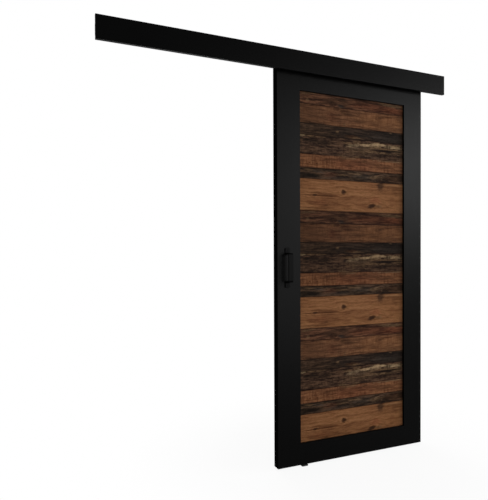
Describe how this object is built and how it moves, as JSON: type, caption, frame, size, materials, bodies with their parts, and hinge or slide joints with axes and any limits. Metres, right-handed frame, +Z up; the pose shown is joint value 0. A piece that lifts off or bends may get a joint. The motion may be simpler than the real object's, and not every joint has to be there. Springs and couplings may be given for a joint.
{
  "type": "sliding barn door",
  "caption": "Sliding barn door: black framed leaf of weathered cross boards with a strap pull, on rolling trolleys in a channel track behind a long black pelmet.",
  "frame": {"origin": "on the wall plane, in the middle of the line of wall screw holes in the cleat", "axes": "+X to the right along the track, +Y into the wall, +Z up"},
  "size_m": [1.886, 0.103, 2.0675],
  "materials": {
    "black_frame": "black satin lacquer on wood",
    "black_pelmet": "black satin lacquer on wood",
    "dowel_wood": "plain beech",
    "track_aluminium": "drawn and anodised",
    "steel": "bright zinc",
    "black_steel": "black powder coat",
    "trolley_metal": "grey cast metal",
    "stop_metal": "grey cast metal",
    "bumper_rubber": "black rubber",
    "wheel_plastic": "off-white nylon",
    "guide_plastic": "black nylon",
    "board_dark_red": "weathered, dark red-brown",
    "board_mid_brown": "weathered, mid brown",
    "board_black_brown": "weathered, nearly black",
    "board_weathered": "weathered, dark with pale flakes",
    "board_red_brown": "weathered, red-brown",
    "board_grey_brown": "weathered, grey-brown",
    "board_gold_brown": "weathered, golden brown with knots"
  },
  "bodies": {
    "header": {"wall_cleat": "black_pelmet", "header_board": "black_pelmet", "pelmet_board": "black_pelmet", "pelmet_dowels": "dowel_wood", "header_screws": "steel", "track": "track_aluminium", "track_screws": "steel", "end_stop_left": "stop_metal", "end_stop_right": "stop_metal", "bumper_left": "bumper_rubber", "bumper_right": "bumper_rubber", "stop_screws": "steel", "floor_guide": "guide_plastic"},
    "leaf": {"left_stile": "black_frame", "right_stile": "black_frame", "top_rail": "black_frame", "bottom_rail": "black_frame", "board_01": "board_dark_red", "board_02": "board_mid_brown", "board_03": "board_black_brown", "board_04": "board_weathered", "board_05": "board_red_brown", "board_06": "board_grey_brown", "board_07": "board_gold_brown", "board_08": "board_dark_red", "board_09": "board_mid_brown", "board_10": "board_black_brown", "board_11": "board_weathered", "board_12": "board_red_brown", "board_13": "board_grey_brown", "board_14": "board_gold_brown", "board_15": "board_dark_red", "board_16": "board_mid_brown", "board_17": "board_black_brown", "board_18": "board_weathered", "board_19": "board_red_brown", "board_20": "board_grey_brown", "board_21": "board_gold_brown", "handle": "black_steel", "handle_screws": "black_steel", "hanger_plate_left": "steel", "hanger_plate_right": "steel", "plate_screws": "steel", "hanger_bolt_left": "steel", "hanger_bolt_right": "steel", "lock_nuts": "steel", "trolley_left": "trolley_metal", "trolley_right": "trolley_metal", "axle_pins": "steel"},
    "wheel_1_body": {"wheel_1": "wheel_plastic"},
    "wheel_2_body": {"wheel_2": "wheel_plastic"},
    "wheel_3_body": {"wheel_3": "wheel_plastic"},
    "wheel_4_body": {"wheel_4": "wheel_plastic"},
    "wheel_5_body": {"wheel_5": "wheel_plastic"},
    "wheel_6_body": {"wheel_6": "wheel_plastic"},
    "wheel_7_body": {"wheel_7": "wheel_plastic"},
    "wheel_8_body": {"wheel_8": "wheel_plastic"}
  },
  "joints": [
    {"name": "leaf_slide", "type": "slide", "parent": "header", "child": "leaf", "axis": [1, 0, 0], "range_m": [-0.72, 0.08]},
    {"name": "wheel_1_spin", "type": "hinge", "parent": "leaf", "child": "wheel_1_body", "pos_m": [0.0715, -0.04, -0.0012], "axis": [0, 1, 0], "continuous": true},
    {"name": "wheel_2_spin", "type": "hinge", "parent": "leaf", "child": "wheel_2_body", "pos_m": [0.0715, -0.04, -0.0012], "axis": [0, 1, 0], "continuous": true},
    {"name": "wheel_3_spin", "type": "hinge", "parent": "leaf", "child": "wheel_3_body", "pos_m": [0.1195, -0.04, -0.0012], "axis": [0, 1, 0], "continuous": true},
    {"name": "wheel_4_spin", "type": "hinge", "parent": "leaf", "child": "wheel_4_body", "pos_m": [0.1195, -0.04, -0.0012], "axis": [0, 1, 0], "continuous": true},
    {"name": "wheel_5_spin", "type": "hinge", "parent": "leaf", "child": "wheel_5_body", "pos_m": [0.6015, -0.04, -0.0012], "axis": [0, 1, 0], "continuous": true},
    {"name": "wheel_6_spin", "type": "hinge", "parent": "leaf", "child": "wheel_6_body", "pos_m": [0.6015, -0.04, -0.0012], "axis": [0, 1, 0], "continuous": true},
    {"name": "wheel_7_spin", "type": "hinge", "parent": "leaf", "child": "wheel_7_body", "pos_m": [0.6495, -0.04, -0.0012], "axis": [0, 1, 0], "continuous": true},
    {"name": "wheel_8_spin", "type": "hinge", "parent": "leaf", "child": "wheel_8_body", "pos_m": [0.6495, -0.04, -0.0012], "axis": [0, 1, 0], "continuous": true}
  ],
  "couplings": [
    {"joint": "wheel_1_spin", "follows": "leaf_slide", "rad_per_m": 90.909},
    {"joint": "wheel_2_spin", "follows": "leaf_slide", "rad_per_m": 90.909},
    {"joint": "wheel_3_spin", "follows": "leaf_slide", "rad_per_m": 90.909},
    {"joint": "wheel_4_spin", "follows": "leaf_slide", "rad_per_m": 90.909},
    {"joint": "wheel_5_spin", "follows": "leaf_slide", "rad_per_m": 90.909},
    {"joint": "wheel_6_spin", "follows": "leaf_slide", "rad_per_m": 90.909},
    {"joint": "wheel_7_spin", "follows": "leaf_slide", "rad_per_m": 90.909},
    {"joint": "wheel_8_spin", "follows": "leaf_slide", "rad_per_m": 90.909}
  ]
}
